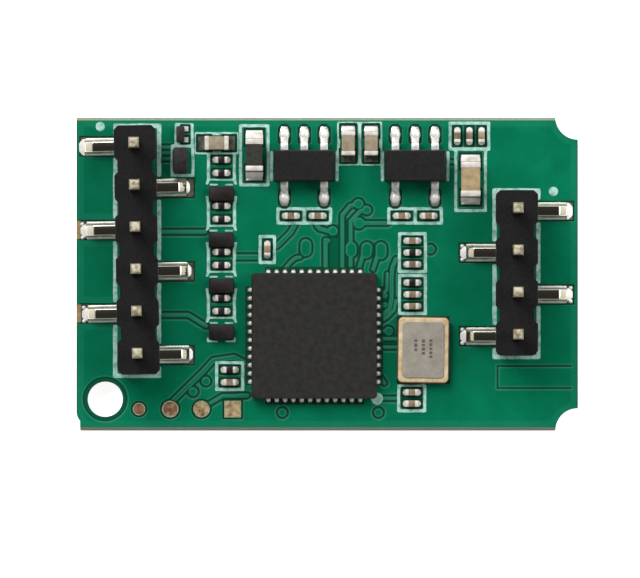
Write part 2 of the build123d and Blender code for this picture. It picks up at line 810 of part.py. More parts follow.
def part_marks():
    """Short bars beside the regulators, the level shifters and the two parts at the upper left."""
    beside = regulator_length / 2 + regulator_mark_gap + print_line / 2
    for x in (regulator_1_x, regulator_2_x):
        for side in (-1, 1):
            line_mark(x + side * beside, regulator_y, print_line, regulator_mark_length)
    above = shifter_width / 2 + shifter_mark_gap + thin_print_line / 2
    bar_x = (shifter_length - shifter_mark_length) / 2
    for number in range(shifter_count):
        y = top_edge - column_from_top - column_pair_step - column_shifter_step - number * shifter_pitch
        for side in (-1, 1):
            line_mark(column_x + side * bar_x, y + above, shifter_mark_length, thin_print_line)
    inner_end = bar_x - shifter_mark_length / 2
    outer_end = small_length / 2 + print_past_small_end
    bar_x = (inner_end + outer_end) / 2
    end_x = outer_end - print_line / 2
    for side in (-1, 1):
        line_mark(column_x + side * bar_x, y - above, outer_end - inner_end, thin_print_line)
        line_mark(column_x + side * end_x, y - above + last_mark_height / 2, print_line, last_mark_height)
    width = diode_width + 2 * print_past_small_side
    height = diode_length + 2 * print_past_moulded
    outline_mark(inductor_x + diode_mark_shift, top_edge - diode_from_top, width, height)
    width = inductor_width + 2 * print_past_medium_side
    height = inductor_length + 2 * print_past_moulded
    outline_mark(inductor_x + inductor_mark_shift, top_edge - inductor_from_top, width, height)


def joined(outlines):
    """All the outlines as one sketch."""
    return Sketch() + outlines


def grown(outlines, amount):
    """All the outlines, each grown by the amount, as one sketch."""
    return joined([offset(outline, amount, kind=Kind.INTERSECTION) for outline in outlines])


def front_layers():
    """The mask with its openings, the tinned lands in them, and the white print on the mask."""
    cover = board_outline()
    cover &= Rectangle(board_length - 2 * mask_edge_gap, board_width - 2 * score_inset)
    openings.append(placed(Circle(hole_radius + hole_bare_ring), hole_x, hole_y))
    open_area = grown(lands, mask_clearance) + openings
    add("solder_mask", extrude(placed(cover - open_area, 0, 0, laminate_top), mask_thickness))
    add("tinned_lands", extrude(placed(joined(lands), 0, 0, laminate_top), land_thickness))
    printed = (joined(print_marks) & cover) - grown(lands, print_clearance) - joined(openings)
    add("component_print", extrude(placed(printed, 0, 0, mask_top), print_thickness))


add("circuit_board", circuit_board())
add("patch_antennas", antenna_copper())
header("header_6", header_6_count, header_6_x, header_6_y, header_6_turn, -1)
header("header_4", header_4_count, header_4_x, header_4_y, 0, 1)
edge_contacts()
radar_chip()
regulator("regulator_1", regulator_1_x, regulator_y)
regulator("regulator_2", regulator_2_x, regulator_y)
crystal()
resistor_column()
supply_components()
supply_inductor()
supply_diode()
small_components()
test_pads()
component_outlines()
part_marks()
front_layers()

os.makedirs("parts", exist_ok=True)
for node, shapes in nodes.items():
    solids = [solid for shape in shapes for solid in shape.solids()]
    export_step(Compound(solids) if len(solids) > 1 else solids[0], f"parts/{node}.step")
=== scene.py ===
"""Millimetre-wave radar module: the looks of the board, its mask and print, its solder and its parts.

Lengths in the sections are millimetres on the board, with the origin at the middle of the rear face;
the constant MM turns them into the scene's metres.
"""

import math

import bmesh
import bpy
import numpy as np
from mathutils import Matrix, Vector, noise
from mathutils.geometry import delaunay_2d_cdt


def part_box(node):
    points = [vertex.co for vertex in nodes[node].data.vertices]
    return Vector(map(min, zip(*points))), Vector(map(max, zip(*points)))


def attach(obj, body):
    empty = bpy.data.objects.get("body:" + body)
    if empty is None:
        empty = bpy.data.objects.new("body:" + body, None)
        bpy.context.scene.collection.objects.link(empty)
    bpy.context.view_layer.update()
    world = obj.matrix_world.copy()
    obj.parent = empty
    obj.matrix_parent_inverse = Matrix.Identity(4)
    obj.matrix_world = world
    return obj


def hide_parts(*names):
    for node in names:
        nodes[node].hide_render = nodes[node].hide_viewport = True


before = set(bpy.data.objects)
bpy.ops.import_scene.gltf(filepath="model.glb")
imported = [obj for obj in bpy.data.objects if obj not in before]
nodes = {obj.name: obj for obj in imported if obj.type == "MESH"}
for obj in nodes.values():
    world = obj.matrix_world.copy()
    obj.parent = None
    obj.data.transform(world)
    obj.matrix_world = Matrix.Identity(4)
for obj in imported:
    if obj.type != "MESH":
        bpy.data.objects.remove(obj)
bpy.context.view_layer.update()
scene = bpy.context.scene
MM = 0.001


# Laminate
# Glass-fibre board 1.2 mm thick, green under its mask. The long edges are snapped off along scored
# grooves and show bare resin and fibre ends; the short edges, the notches and the hole are routed.


def tint(red, green, blue):
    """A colour as the eye reads it, 0 to 255, turned into the linear values that a shader takes."""
    values = [channel / 255 for channel in (red, green, blue)]
    linear = [v / 12.92 if v <= 0.04045 else ((v + 0.055) / 1.055) ** 2.4 for v in values]
    return (*linear, 1.0)


def finish(name, dark, light, grain, roughness=0.5, metallic=0.0, bump=0.0, gloss=0.5, spread=(0.35, 0.65)):
    """A material whose colour, roughness and bump wander between two tones over a grain in millimetres."""
    material = bpy.data.materials.new(name)
    material.use_nodes = True
    tree = material.node_tree
    shader = tree.nodes["Principled BSDF"]
    place = tree.nodes.new("ShaderNodeTexCoord")
    cloud = tree.nodes.new("ShaderNodeTexNoise")
    cloud.inputs["Scale"].default_value = 1 / (grain * MM)
    cloud.inputs["Detail"].default_value = 4
    cloud.inputs["Roughness"].default_value = 0.6
    tones = tree.nodes.new("ShaderNodeValToRGB")
    tones.name = "Tones"
    for element, stop, colour in zip(tones.color_ramp.elements, spread, (dark, light)):
        element.position = stop
        element.color = tint(*colour)
    polish = tree.nodes.new("ShaderNodeMapRange")
    polish.inputs["To Min"].default_value = roughness * 0.8
    polish.inputs["To Max"].default_value = min(1.0, roughness * 1.2)
    tree.links.new(place.outputs["Object"], cloud.inputs["Vector"])
    tree.links.new(cloud.outputs["Fac"], tones.inputs["Fac"])
    tree.links.new(tones.outputs["Color"], shader.inputs["Base Color"])
    tree.links.new(cloud.outputs["Fac"], polish.inputs["Value"])
    tree.links.new(polish.outputs["Result"], shader.inputs["Roughness"])
    shader.inputs["Metallic"].default_value = metallic
    shader.inputs["Specular IOR Level"].default_value = gloss
    if bump:
        relief = tree.nodes.new("ShaderNodeBump")
        relief.name = "Relief"
        relief.inputs["Strength"].default_value = bump
        relief.inputs["Distance"].default_value = 0.1 * grain * MM
        tree.links.new(cloud.outputs["Fac"], relief.inputs["Height"])
        tree.links.new(relief.outputs["Normal"], shader.inputs["Normal"])
    return material


def dress(piece, material):
    """Gives a piece one material."""
    piece.data.materials.clear()
    piece.data.materials.append(material)


def blend_tones(tree, factor, first, second):
    """A mix of two colour sockets by a factor socket."""
    mix = tree.nodes.new("ShaderNodeMix")
    mix.data_type = "RGBA"
    tree.links.new(factor, mix.inputs["Factor"])
    tree.links.new(first, mix.inputs["A"])
    tree.links.new(second, mix.inputs["B"])
    return mix.outputs["Result"]


board_low, board_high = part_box("circuit_board")
laminate_top = board_high.z / MM
left_edge, bottom_edge = board_low.x / MM, board_low.y / MM
right_edge, top_edge = board_high.x / MM, board_high.y / MM

laminate = finish("bare_laminate", (112, 130, 112), (154, 168, 148), 0.16, 0.75, bump=0.4, gloss=0.1, spread=(0.25, 0.75))
tree = laminate.node_tree
shader = tree.nodes["Principled BSDF"]
geometry = tree.nodes.new("ShaderNodeNewGeometry")
facing = tree.nodes.new("ShaderNodeSeparateXYZ")
tree.links.new(geometry.outputs["True Normal"], facing.inputs["Vector"])
rear = tree.nodes.new("ShaderNodeMath")
rear.operation = "LESS_THAN"
rear.inputs[1].default_value = -0.9
tree.links.new(facing.outputs["Z"], rear.inputs[0])
front = tree.nodes.new("ShaderNodeMath")
front.operation = "GREATER_THAN"
front.inputs[1].default_value = 0.9
tree.links.new(facing.outputs["Z"], front.inputs[0])
lower_slope = tree.nodes.new("ShaderNodeMath")
lower_slope.operation = "LESS_THAN"
lower_slope.inputs[1].default_value = -0.5
tree.links.new(facing.outputs["Y"], lower_slope.inputs[0])
colours = {}
for part, colour in (
    ("rear_mask", (10, 104, 74)), ("shaded_window_floor", (16, 70, 50)), ("painted_slope_shade", (140, 146, 130)),
    ("scorched", (168, 142, 104)),
):
    colours[part] = tree.nodes.new("ShaderNodeRGB")
    colours[part].outputs[0].default_value = tint(*colour)
board_place = tree.nodes.new("ShaderNodeTexCoord")
across = tree.nodes.new("ShaderNodeSeparateXYZ")
tree.links.new(board_place.outputs["Object"], across.inputs[0])
scorch = tree.nodes.new("ShaderNodeMapRange")  # the router has browned the left end
scorch.inputs["From Min"].default_value = (left_edge + 0.9) * MM
scorch.inputs["From Max"].default_value = (left_edge + 0.1) * MM
scorch.inputs["To Max"].default_value = 0.8
tree.links.new(across.outputs["X"], scorch.inputs["Value"])
tone = tree.nodes["Tones"].outputs["Color"]
# The slopes and walls that face down the board, towards -Y, are mixed towards a greyer tone: painted shade.
slope_shade_share = tree.nodes.new("ShaderNodeMath")
slope_shade_share.operation = "MULTIPLY"
slope_shade_share.inputs[1].default_value = 0.75
tree.links.new(lower_slope.outputs[0], slope_shade_share.inputs[0])
tone = blend_tones(tree, slope_shade_share.outputs[0], tone, colours["painted_slope_shade"].outputs[0])
tone = blend_tones(tree, scorch.outputs["Result"], tone, colours["scorched"].outputs[0])
tone = blend_tones(tree, rear.outputs[0], tone, colours["rear_mask"].outputs[0])
# The laminate's upper face, bare in the mask's windows, is given a very dark green: painted shade under and round the
# parts.
tone = blend_tones(tree, front.outputs[0], tone, colours["shaded_window_floor"].outputs[0])
tree.links.new(tone, shader.inputs["Base Color"])
dress(nodes["circuit_board"], laminate)


# Solder mask over the copper
# A green lacquer that follows the etched copper below it: raised over the ground plane and the
# tracks, lower in the gaps beside them and round each window, with a paler rim along every edge.
# It is darker green where no copper lies under it, and darker still in the narrow gaps as painted
# shade; the paler rim is partly the lacquer lying thin over the copper's edge, partly a painted highlight.

TRACKS = [  # width, then the points that the track runs through
    (0.17, (-8.0, 2.0), (-5.85, 2.0)),
    (0.17, (-8.0, -1.98), (-6.65, -1.98), (-5.8, -2.5)),
    (0.14, (-8.0, 6.05), (-7.4, 6.05)),
    (0.14, (-8.0, 5.5), (-7.4, 5.5)),
    (0.2, (-7.4, -6.1), (-6.0, -4.75), (-5.45, -4.15), (-4.45, -4.0), (-3.85, -4.3)),
    (0.15, (-5.6, -6.2), (-5.0, -5.85), (-3.85, -5.85)),
    (0.22, (-4.3, 0.8), (-3.35, 0.8)),
    (0.2, (-2.4, 1.33), (-1.75, 1.98), (-1.55, 2.35)),
    (0.14, (-2.05, 0.2), (-1.7, 0.6), (-1.5, 0.75), (-1.3, 0.78)),
    (0.18, (-0.5, 2.3), (-0.35, 2.15), (0.0, 2.05), (0.27, 2.05)),
    (0.18, (-0.08, 0.15), (-0.08, 1.6), (0.05, 1.58)),
    (0.16, (0.72, 0.15), (0.72, 2.8), (1.1, 3.25), (1.5, 3.35)),
    (0.16, (1.12, 0.15), (1.12, 0.9)),
    (0.16, (1.12, 1.45), (1.12, 2.5), (1.6, 3.0), (1.9, 3.05)),
    (0.16, (1.52, 2.42), (2.9, 2.42)),
    (0.16, (1.72, 0.9), (1.5, 0.2)),
    (0.16, (2.42, 0.9), (2.2, 0.2)),
    (0.17, (3.3, 0.7), (3.12, 0.3), (3.08, -0.2), (3.08, -1.2), (2.98, -1.7), (2.7, -1.95)),
    (0.12, (2.88, 0.0), (2.85, -0.8), (2.62, -1.0)),
    (0.14, (3.3, -1.3), (3.2, -1.75), (2.85, -2.1), (2.5, -2.3)),
    (0.14, (2.5, -2.75), (2.95, -2.75)),
    (0.14, (2.5, -3.12), (3.4, -3.12)),
    (0.14, (2.5, -3.52), (3.4, -3.52)),
    (0.14, (2.4, -4.75), (2.75, -5.25)),
    (0.14, (2.7, -5.97), (3.3, -5.97)),
    (0.14, (-4.2, -5.82), (-3.8, -5.82)),
    (0.14, (5.7, 5.35), (6.05, 5.35)),
]
VIAS = [  # x, y and radius of the copper round a plated hole that the mask has covered
    (-6.42, -5.65, 0.2), (-5.8, -5.15, 0.2), (0.27, 2.05, 0.22), (1.5, 3.35, 0.22), (1.9, 3.05, 0.2),
    (1.52, 2.42, 0.25), (2.95, -2.75, 0.2), (4.95, 1.17, 0.2), (-2.15, -6.65, 0.2), (2.45, -6.65, 0.2),
    (2.75, -1.05, 0.12), (2.75, -1.5, 0.12),
]
LONG_VIAS = [  # width of the copper, and the two ends of its middle line
    (0.5, (-1.02, 1.1), (-1.02, 1.4)), (0.5, (1.15, 1.05), (1.15, 1.25)),
    (0.5, (1.87, 1.0), (1.9, 1.25)), (0.5, (2.58, 0.95), (2.58, 1.25)),
]
BARE = [  # corners of rectangles without copper
    (0.05, 0.0, 0.62, 1.8), (8.1, -5.5, 8.2, -4.42), (8.1, -4.47, 11.7, -4.37), (8.1, -5.53, 11.7, -5.43),
]
copper_gap = 0.13  # etched away beside a track and, half as wide, round a window
long_window = 1.8
long_window_gap = 0.015  # etched away round the longer windows, at the pin feet and the radar chip
pour_inset = 0.3  # the ground plane stops short of the board's edge, which shows as a faint line
pour_line = 0.07
hole_line = 0.05
rim_skip = 0.07  # takes the pale rim away round the windows
copper_step = 0.026  # how far the lacquer drops where there is no copper
slope = 0.045
hole_centre = np.array((-10.63, -6.0))
hole_mask_share = 0.86  # how near the lacquer comes to the mounting hole


def top_loops(node):
    """The closed outlines of a flat CAD node's upper face, as arrays of points in millimetres."""
    mesh = nodes[node].data
    points = np.array([v.co for v in mesh.vertices]) / MM
    top = points[:, 2].max()
    directed = {}
    for polygon in mesh.polygons:
        corners = [tuple(np.round(points[i], 4)) for i in polygon.vertices]
        if min(corner[2] for corner in corners) > top - 0.001:
            for start, end in zip(corners, corners[1:] + corners[:1]):
                directed[(start[:2], end[:2])] = True
    following = {a: b for a, b in directed if (b, a) not in directed}
    loops = []
    while following:
        start, point = following.popitem()
        loop = [start]
        while point != start:
            loop.append(point)
            point = following.pop(point)
        loops.append(np.array(loop))
    return loops


def resampled(loop, spacing):
    """A closed outline with points put in so that none lie further apart than the spacing."""
    points = []
    for start, end in zip(loop, np.roll(loop, -1, axis=0)):
        pieces = max(1, math.ceil(np.linalg.norm(end - start) / spacing))
        points.extend(start + (end - start) * k / pieces for k in range(pieces))
    return np.array(points)


def segments_of(loops):
    """The start and end points of every straight stretch of closed outlines."""
    starts = np.vstack(loops)
    ends = np.vstack([np.roll(loop, -1, axis=0) for loop in loops])
    return starts, ends


def distances(points, starts, ends):
    """The distance from each point to the nearest of many straight stretches."""
    along = ends - starts
    length = np.maximum((along ** 2).sum(1), 1e-12)
    nearest = np.full(len(points), np.inf)
    for first in range(0, len(points), 2000):
        part = points[first:first + 2000]
        offset = part[:, None, :] - starts[None]
        share = np.clip((offset * along[None]).sum(2) / length, 0, 1)
        gap = np.linalg.norm(offset - share[..., None] * along[None], axis=2)
        nearest[first:first + 2000] = gap.min(1)
    return nearest


def inside(points, starts, ends):
    """Whether each point lies within closed outlines, holes taken away."""
    result = np.zeros(len(points), bool)
    rise = ends[:, 1] - starts[:, 1]
    rise = np.where(rise == 0, 1e-12, rise)
    for first in range(0, len(points), 2000):
        part = points[first:first + 2000]
        straddles = (starts[None, :, 1] > part[:, None, 1]) != (ends[None, :, 1] > part[:, None, 1])
        cross = starts[:, 0] + (part[:, None, 1] - starts[:, 1]) / rise * (ends[:, 0] - starts[:, 0])
        result[first:first + 2000] = (straddles & (part[:, None, 0] < cross)).sum(1) % 2 == 1
    return result


def filled(loops, extra):
    """Triangles that fill closed outlines and pass through extra points: points and faces."""
    starts, ends = segments_of(loops)
    if len(extra):
        extra = extra[inside(extra, starts, ends)]
        extra = extra[distances(extra, starts, ends) > 0.012]
    edges = []
    first = 0
    for loop in loops:
        edges.extend((first + k, first + (k + 1) % len(loop)) for k in range(len(loop)))
        first += len(loop)
    flat = np.vstack([starts, extra]) if len(extra) else starts
    points, _, faces, _, _, _ = delaunay_2d_cdt([Vector(p) for p in flat], edges, [], 0, 1e-6)
    points = np.array(points)
    faces = np.array(faces)
    middle = points[faces].mean(1)
    return points, faces[inside(middle, starts, ends)]


def slab(name, points, faces, bottom, top):
    """A closed sheet from flat triangles: its lower face at one height, its upper points at their own."""
    count = len(points)
    lower = np.column_stack([points, np.full(count, bottom)])
    upper = np.column_stack([points, top])
    edges = {}
    for a, b, c in faces:
        for pair in ((a, b), (b, c), (c, a)):
            edges[pair] = True
    gap_shade_and_rim_highlight = [(a, b) for a, b in edges if (b, a) not in edges]
    polygons = [tuple(f + count) for f in faces] + [tuple(f[::-1]) for f in faces]
    polygons += [(a, b, b + count, a + count) for a, b in gap_shade_and_rim_highlight]
    mesh = bpy.data.meshes.new(name)
    mesh.from_pydata((np.vstack([lower, upper]) * MM).tolist(), [], [tuple(map(int, p)) for p in polygons])
    mesh.update()
    piece = bpy.data.objects.new(name, mesh)
    scene.collection.objects.link(piece)
    return piece


def beside_loop(loop, distance, spacing=0.1):
    """Points at a distance to the left of a closed outline, with extra ones round its corners."""
    points = resampled(loop, spacing)
    along = np.roll(points, -1, axis=0) - points
    along /= np.linalg.norm(along, axis=1)[:, None]
    after = np.column_stack([-along[:, 1], along[:, 0]])
    before = np.roll(after, 1, axis=0)
    middle = after + before
    middle /= np.maximum(np.linalg.norm(middle, axis=1), 1e-6)[:, None]
    turning = np.abs(after - before).sum(1) > 0.05
    rows = [points + after * distance]
    rows += [points[turning] + side[turning] * distance for side in (before, middle)]
    return np.vstack(rows)


def beside_path(path, distance, spacing=0.1):
    """Points at a distance from an open path, on both sides and round its ends and corners."""
    starts, ends = path[:-1], path[1:]
    rows = []
    for start, end in zip(starts, ends):
        length = np.linalg.norm(end - start)
        shares = np.linspace(0, 1, max(2, math.ceil(length / spacing) + 1))[:, None]
        normal = np.array([start[1] - end[1], end[0] - start[0]]) / length
        line = start + (end - start) * shares
        rows += [line + normal * distance, line - normal * distance]
    angles = np.linspace(0, 2 * math.pi, 12, endpoint=False)
    ring = np.column_stack([np.cos(angles), np.sin(angles)]) * distance
    rows += [point + ring for point in path]
    points = np.vstack(rows)
    return points[distances(points, starts, ends) > distance - 0.004]


def thinned(points, cell):
    """The points, at most one for each square cell."""
    _, kept = np.unique(np.round(points / cell).astype(int), axis=0, return_index=True)
    return points[np.sort(kept)]


mask_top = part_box("solder_mask")[1].z / MM
mask_loops = sorted(top_loops("solder_mask"), key=lambda loop: -np.ptp(loop[:, 0]))
board_loop = mask_loops[0]
hole_index = min(range(1, len(mask_loops)), key=lambda k: np.hypot(*(mask_loops[k].mean(0) - hole_centre)))
hole_loop = mask_loops[hole_index]
windows = [loop for loop in mask_loops[1:] if loop is not hole_loop]
window_groups = [
    ([loop for loop in windows if np.ptp(loop, axis=0).max() < long_window], copper_gap / 2),
    ([loop for loop in windows if np.ptp(loop, axis=0).max() >= long_window], long_window_gap),
]
mask_loops[hole_index] = hole_centre + (hole_loop - hole_centre) * hole_mask_share
copper_paths = [(row[0] / 2, np.array(row[1:])) for row in TRACKS + LONG_VIAS]
copper_paths += [(radius, np.array([(x - 0.001, y), (x + 0.001, y)])) for x, y, radius in VIAS]
bare_loops = [np.array([(a, b), (a, d), (c, d), (c, b)]) for a, b, c, d in BARE]
RIM = (-0.035, 0.01, 0.045, 0.09)  # distances from the copper's edge at which the surface needs points


def copper_edge(points):
    """How far inside the copper's edge each point lies, in millimetres; negative where it is etched away."""
    pour = np.min([distances(points, *segments_of(loops)) - gap for loops, gap in window_groups], axis=0)
    pour = np.where(pour > 0, pour + rim_skip, pour)
    border = np.abs(distances(points, *segments_of([board_loop])) - pour_inset)
    pour = np.minimum(pour, border + pour_line)
    from_hole = distances(points, *segments_of([hole_loop]))
    from_hole = np.where(inside(points, *segments_of([hole_loop])), -from_hole, from_hole)
    pour = np.minimum(pour, from_hole - hole_line)
    for loop in bare_loops:
        away = distances(points, *segments_of([loop]))
        pour = np.minimum(pour, np.where(inside(points, *segments_of([loop])), -away, away))
    track = np.full(len(points), -1.0)
    for half, path in copper_paths:
        away = distances(points, path[:-1], path[1:])
        track = np.maximum(track, half - away)
        pour = np.minimum(pour, away - half - copper_gap)
    return np.maximum(pour, track)


extra = [beside_loop(loop, gap + c) for loops, gap in window_groups for loop in loops for c in RIM if gap + c > 0]
extra += [beside_loop(board_loop, pour_inset + c) for c in RIM]
extra += [beside_loop(hole_loop, side * (hole_line + c)) for c in (-hole_line, *RIM) for side in (1, -1)]
extra += [beside_loop(loop[::side], abs(c)) for loop in bare_loops for c in RIM for side in (1, -1)]
for half, path in copper_paths:
    extra += [beside_path(path, half + copper_gap + c) for c in RIM]
    extra += [beside_path(path, half - c) for c in RIM if half - c > 0.01]
    extra.append(path)
grid_x, grid_y = np.meshgrid(np.arange(left_edge, right_edge, 0.45), np.arange(bottom_edge, top_edge, 0.45))
extra.append(np.column_stack([grid_x.ravel(), grid_y.ravel()]))
mask_points, mask_faces = filled([resampled(loop, 0.25) for loop in mask_loops], thinned(np.vstack(extra), 0.02))
edge = copper_edge(mask_points)
raised = np.clip(edge / slope + 0.5, 0, 1)
heights = mask_top - copper_step * (1 - raised * raised * (3 - 2 * raised))
mask = slab("green_solder_mask", mask_points, mask_faces, laminate_top, heights)
copper = mask.data.attributes.new("copper_edge", "FLOAT", "POINT")
copper.data.foreach_set("value", np.tile(np.clip(edge, -0.2, 0.3), 2).astype(np.float32))
border = mask.data.attributes.new("border", "FLOAT", "POINT")
border_share = np.clip((pour_inset - distances(mask_points, *segments_of([board_loop]))) / 0.05 + 0.5, 0, 1)
border.data.foreach_set("value", np.tile(border_share, 2).astype(np.float32))
mask.data.shade_smooth()
mask.data.set_sharp_from_angle(angle=math.radians(50))

lacquer = finish("green_mask_lacquer", (0, 110, 76), (0, 125, 89), 1.6, 0.36, gloss=0.1, spread=(0.3, 0.7))
tree = lacquer.node_tree
shader = tree.nodes["Principled BSDF"]
where = tree.nodes.new("ShaderNodeAttribute")
where.attribute_name = "copper_edge"
reach = tree.nodes.new("ShaderNodeMapRange")
reach.inputs["From Min"].default_value = -0.1
reach.inputs["From Max"].default_value = 0.15
tree.links.new(where.outputs["Fac"], reach.inputs["Value"])
# The ramp makes the narrow gaps beside the copper darker than wider bare ground, as painted shade, and the rim inside
# the copper's edge paler, partly thin lacquer and partly painted highlight.
gap_shade_and_rim_highlight = tree.nodes.new("ShaderNodeValToRGB")
gap_shade_and_rim_highlight.color_ramp.interpolation = "B_SPLINE"
stops = [(0.0, (0, 96, 66), 1), (0.14, (0, 66, 46), 1), (0.36, (0, 68, 48), 1)]
stops += [(0.5, (70, 158, 128), 0.5), (0.6, (60, 148, 118), 0.32)]
stops.append((0.8, (0, 112, 78), 0.0))
while len(gap_shade_and_rim_highlight.color_ramp.elements) < len(stops):
    gap_shade_and_rim_highlight.color_ramp.elements.new(0.5)
for element, (stop, colour, share) in zip(gap_shade_and_rim_highlight.color_ramp.elements, stops):
    element.position = stop
    element.color = (*tint(*colour)[:3], share)
tree.links.new(reach.outputs["Result"], gap_shade_and_rim_highlight.inputs["Fac"])
outer = tree.nodes.new("ShaderNodeAttribute")
outer.attribute_name = "border"
thin_share = tree.nodes.new("ShaderNodeMath")
thin_share.operation = "MULTIPLY"
thin_share.inputs[1].default_value = 0.3
tree.links.new(outer.outputs["Fac"], thin_share.inputs[0])
thin = tree.nodes.new("ShaderNodeRGB")
thin.outputs[0].default_value = tint(34, 140, 108)
tone = blend_tones(tree, thin_share.outputs[0], tree.nodes["Tones"].outputs["Color"], thin.outputs[0])
tone = blend_tones(tree, gap_shade_and_rim_highlight.outputs["Alpha"], tone, gap_shade_and_rim_highlight.outputs["Color"])
tree.links.new(tone, shader.inputs["Base Color"])
dress(mask, lacquer)
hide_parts("solder_mask")
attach(mask, "root")


# White component print
# Outlines, bars and dots screened onto the mask in a pale mint ink. The lines have rounded corners
# and a slightly uneven edge, and the ink lies thin in places.


def eased(loop, spacing, passes, wander):
    """A closed outline with its corners rounded and its line made slightly uneven."""
    points = resampled(loop, spacing)
    for _ in range(passes):
        points = (np.roll(points, 1, axis=0) + 2 * points + np.roll(points, -1, axis=0)) / 4
    drift = [noise.noise_vector(Vector((x * 2.5, y * 2.5, 3.0)))[:2] for x, y in points]
    return points + np.array(drift) * wander


print_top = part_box("component_print")[1].z / MM
print_loops = [eased(loop, 0.045, 3, 0.016) for loop in top_loops("component_print")]
print_points, print_faces = filled(print_loops, np.empty((0, 2)))
ink = slab("white_component_print", print_points, print_faces, mask_top - 0.004, np.full(len(print_points), print_top))
dress(ink, finish("mint_print_ink", (118, 174, 158), (186, 228, 218), 0.3, 0.65, bump=0.35, spread=(0.34, 0.58)))
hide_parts("component_print")
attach(ink, "root")


# Test pads, edge contacts and antennas
# Bare copper that the mask leaves open: round and square pads stained to red-brown and gold, each with
# a pale rim, tan contacts at the board's left edge, and plated patch antennas on the rear face.

stained = finish("stained_copper", (112, 66, 50), (158, 120, 88), 0.28, 0.5, metallic=0.3, bump=0.25)
tree = stained.node_tree
place = tree.nodes.new("ShaderNodeTexCoord")
along = tree.nodes.new("ShaderNodeSeparateXYZ")
tree.links.new(place.outputs["Object"], along.inputs[0])
wear = tree.nodes.new("ShaderNodeTexNoise")
wear.inputs["Scale"].default_value = 1 / (0.24 * MM)
wear.inputs["Detail"].default_value = 3
tree.links.new(place.outputs["Object"], wear.inputs["Vector"])
gold_share = tree.nodes.new("ShaderNodeMapRange")
gold_share.inputs["From Min"].default_value = -8.9 * MM
gold_share.inputs["From Max"].default_value = -5.8 * MM
gold_share.inputs["To Min"].default_value = -2.6
gold_share.inputs["To Max"].default_value = -1.3
tree.links.new(along.outputs["X"], gold_share.inputs["Value"])
patchy = tree.nodes.new("ShaderNodeMath")
patchy.operation = "MULTIPLY_ADD"
patchy.use_clamp = True
patchy.inputs[1].default_value = 4.0
tree.links.new(wear.outputs["Fac"], patchy.inputs[0])
tree.links.new(gold_share.outputs["Result"], patchy.inputs[2])
gold = tree.nodes.new("ShaderNodeRGB")
gold.outputs[0].default_value = tint(200, 180, 134)
tone = blend_tones(tree, patchy.outputs[0], tree.nodes["Tones"].outputs["Color"], gold.outputs[0])
tree.links.new(tone, tree.nodes["Principled BSDF"].inputs["Base Color"])
dress(nodes["test_pads"], stained)
pad_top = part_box("test_pads")[1].z / MM
pad_loops = top_loops("test_pads")
rim_loops = pad_loops + [loop.mean(0) + (loop - loop.mean(0)) * 0.84 for loop in pad_loops]
rim_points, rim_faces = filled(rim_loops, np.empty((0, 2)))
rims = slab("test_pad_rims", rim_points, rim_faces, pad_top - 0.004, np.full(len(rim_points), pad_top + 0.003))
dress(rims, finish("pale_pad_rim", (128, 140, 104), (186, 190, 152), 0.2, 0.5, metallic=0.2, bump=0.1))
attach(rims, "root")
dress(nodes["edge_contacts"], finish("bare_copper_contact", (150, 124, 84), (192, 164, 120), 0.2, 0.6, 0.4, bump=0.2))
dress(nodes["patch_antennas"], finish("gilt_copper", (206, 168, 96), (226, 192, 124), 1.2, 0.32, 0.9, bump=0.06))


# Pin headers
# Square brass pins with a tin coat, pressed through a black moulded strip. Each pin is bent at its
# foot to lie on its land; its upper end is sheared off and left matt, its toe is coined to a slope.


def softened(node, name, width, steps, material):
    """A copy of a CAD node with its edges rounded, which takes the node's place."""
    form = bmesh.new()
    form.from_mesh(nodes[node].data)
    bmesh.ops.remove_doubles(form, verts=form.verts, dist=0.0002 * MM)
    bmesh.ops.dissolve_limit(form, angle_limit=math.radians(1), verts=form.verts, edges=form.edges)
    sharp = [e for e in form.edges if e.is_manifold and e.calc_face_angle(0) > math.radians(24)]
    bmesh.ops.bevel(
        form, geom=sharp, offset=width * MM, segments=steps, affect="EDGES", profile=0.5,
        clamp_overlap=True, offset_type="OFFSET",
    )
    mesh = bpy.data.meshes.new(name)
    form.to_mesh(mesh)
    form.free()
    mesh.shade_smooth()
    mesh.set_sharp_from_angle(angle=math.radians(35))
    rough = bpy.data.objects.new(name + "_rough", mesh)
    scene.collection.objects.link(rough)
    flat = rough.modifiers.new("flat_faces", "WEIGHTED_NORMAL")  # keeps the large faces flat to the light
    flat.keep_sharp = True
    mesh = bpy.data.meshes.new_from_object(rough.evaluated_get(bpy.context.evaluated_depsgraph_get()))
    bpy.data.objects.remove(rough)
    mesh.name = name
    piece = bpy.data.objects.new(name, mesh)
    scene.collection.objects.link(piece)
    dress(piece, material)
    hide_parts(node)
    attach(piece, "root")
    return piece


def numbered(prefix):
    """The CAD nodes whose names start the same, in order."""
    return sorted(name for name in nodes if name.startswith(prefix))


pin_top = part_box("header_6_pin_1")[1].z / MM
housing_plastic = finish("black_header_plastic", (12, 12, 14), (26, 26, 27), 0.12, 0.6, bump=0.1, gloss=0.2)
tinned_pin = finish("tinned_pin", (196, 180, 152), (224, 210, 186), 0.5, 0.2, metallic=1.0, bump=0.04)
tree = tinned_pin.node_tree
shader = tree.nodes["Principled BSDF"]
place = tree.nodes.new("ShaderNodeTexCoord")
height = tree.nodes.new("ShaderNodeSeparateXYZ")
sheared = tree.nodes.new("ShaderNodeMath")
sheared.operation = "GREATER_THAN"
sheared.inputs[1].default_value = (pin_top - 0.1) * MM
tree.links.new(place.outputs["Object"], height.inputs[0])
tree.links.new(height.outputs["Z"], sheared.inputs[0])
metal = tree.nodes.new("ShaderNodeMapRange")
metal.inputs["To Min"].default_value = 1.0
metal.inputs["To Max"].default_value = 0.15
tree.links.new(sheared.outputs[0], metal.inputs["Value"])
tree.links.new(metal.outputs["Result"], shader.inputs["Metallic"])
cut_end = tree.nodes.new("ShaderNodeTexNoise")
